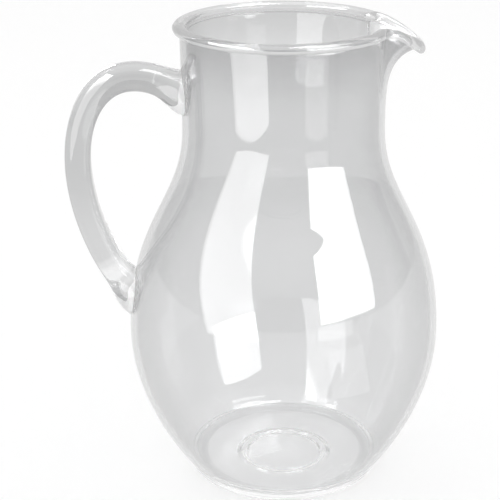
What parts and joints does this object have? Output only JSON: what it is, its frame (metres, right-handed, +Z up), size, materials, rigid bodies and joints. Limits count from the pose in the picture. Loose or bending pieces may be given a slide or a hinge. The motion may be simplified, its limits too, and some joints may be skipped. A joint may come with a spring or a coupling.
{
  "type": "jug",
  "caption": "Clear acrylic water jug with a round belly, narrower neck, rolled rim, pinched pouring spout, cemented base disc and a solid loop handle.",
  "frame": {"origin": "centre of the flat underside of the base disc, on the jug's axis", "axes": "+Z up along the jug's axis, +X towards the pouring spout, -X towards the handle, +Y across"},
  "size_m": [0.1902, 0.1606, 0.24],
  "materials": {
    "clear_acrylic": "clear and polished"
  },
  "bodies": {
    "root": {"body_shell": "clear_acrylic", "base_disc": "clear_acrylic", "handle": "clear_acrylic"}
  },
  "joints": []
}
